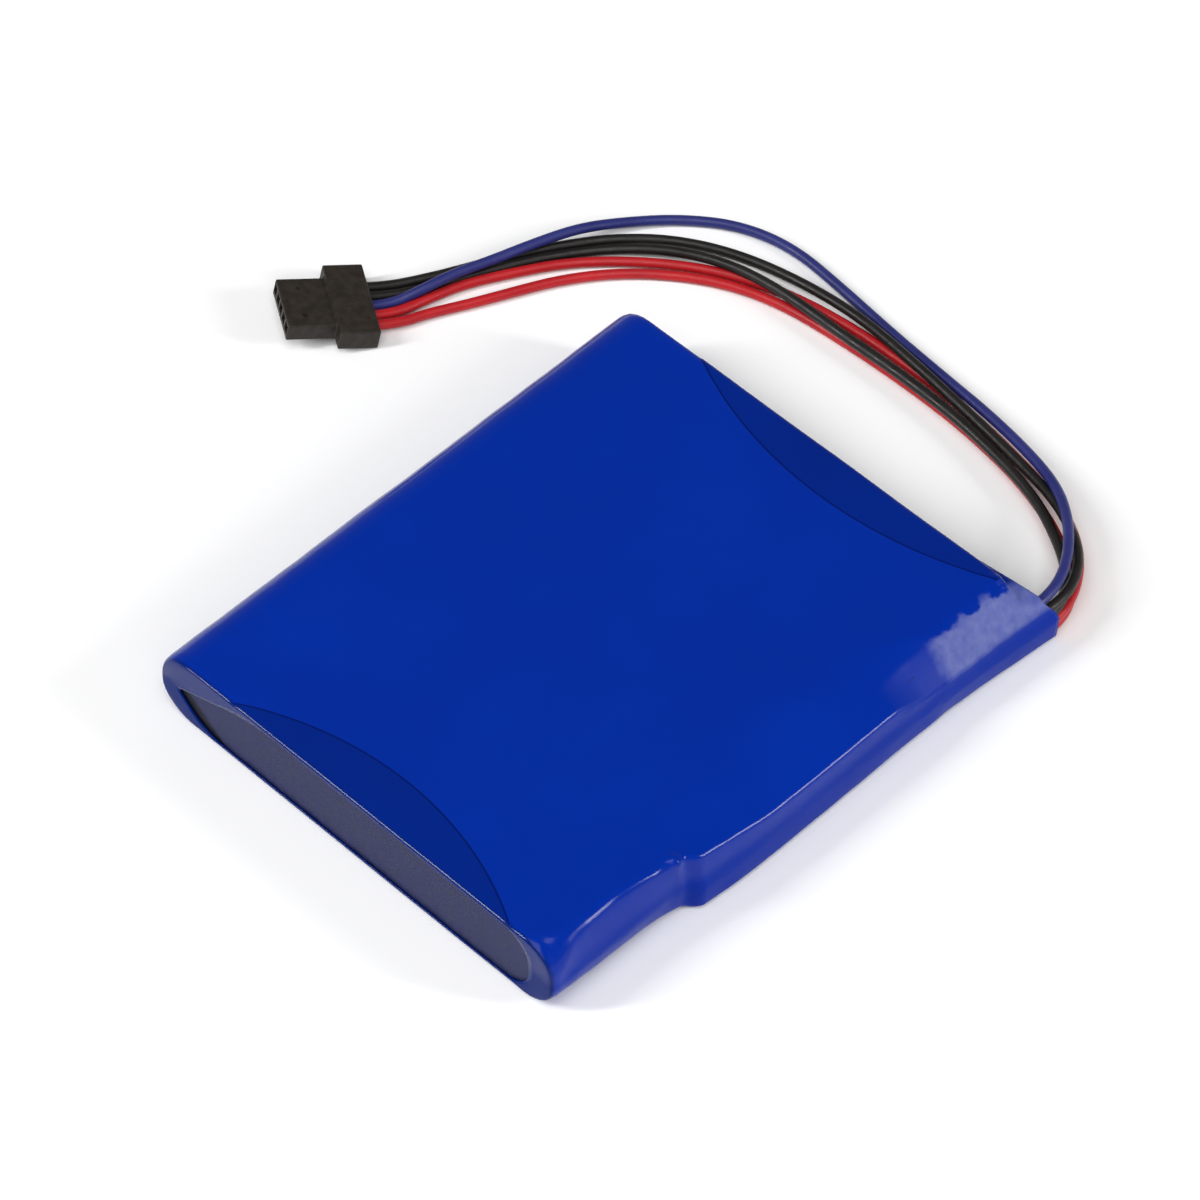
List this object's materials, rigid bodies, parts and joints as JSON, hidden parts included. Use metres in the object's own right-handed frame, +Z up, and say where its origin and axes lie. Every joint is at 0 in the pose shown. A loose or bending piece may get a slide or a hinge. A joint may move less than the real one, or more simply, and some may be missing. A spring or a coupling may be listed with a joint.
{
  "type": "lipo battery pack",
  "caption": "Flat lithium polymer battery pack in glossy blue shrink film, with a protection board bulge on one side and a short multi-wire lead ending in a small black connector.",
  "frame": {"origin": "middle of the flat underside of the cell part of the pack, at the resting_face mount", "axes": "+X across the pack towards the side with the protection board and the wires, +Y along the pack towards the end where the wires come out, +Z up out of the upper flat face"},
  "size_m": [0.0941, 0.0941, 0.0096],
  "materials": {
    "sleeve_film": "glossy translucent blue shrunk PVC film",
    "wrap_film": "thin polyester film",
    "pouch_laminate": "embossed aluminium laminate",
    "electrode_foil": "wound coated foils",
    "tab_aluminium": "bare rolled aluminium",
    "tab_nickel": "bare rolled nickel",
    "seal_film": "heat-seal polymer",
    "insulating_paper": "dark grey vulcanised paper",
    "insulating_tape": "amber polyimide tape",
    "board_laminate": "solder-masked fibreglass",
    "chip_package": "moulded epoxy",
    "fuse_body": "resettable fuse chip",
    "chip_ceramic": "chip ceramic",
    "solder": "reflowed solder",
    "wire_black": "black PVC insulation",
    "wire_red": "red PVC insulation",
    "wire_blue": "blue PVC insulation",
    "connector_plastic": "moulded nylon",
    "contact_tin": "tinned phosphor bronze"
  },
  "bodies": {
    "root": {"outer_sleeve": "sleeve_film", "inner_wrap": "wrap_film", "upper_pouch_half": "pouch_laminate", "lower_pouch_half": "pouch_laminate", "electrode_roll": "electrode_foil", "positive_tab": "tab_aluminium", "negative_tab": "tab_nickel", "tab_sealing_films": "seal_film", "tab_insulation_tape": "insulating_tape", "near_end_insulator": "insulating_paper", "far_end_insulator": "insulating_paper", "positive_strip": "tab_nickel", "negative_strip": "tab_nickel", "side_insulator": "insulating_paper", "protection_board": "board_laminate", "protection_ic": "chip_package", "power_mosfets": "chip_package", "resettable_fuse": "fuse_body", "thermistor": "chip_ceramic", "chip_resistors": "chip_package", "chip_capacitors": "chip_ceramic", "solder_joints": "solder", "connector_housing": "connector_plastic", "crimp_contact_1": "contact_tin", "crimp_contact_2": "contact_tin", "crimp_contact_3": "contact_tin", "crimp_contact_4": "contact_tin", "crimp_contact_5": "contact_tin", "black_wire_a": "wire_black", "black_wire_b": "wire_black", "blue_wire": "wire_blue", "red_wire_a": "wire_red", "red_wire_b": "wire_red"}
  },
  "joints": []
}
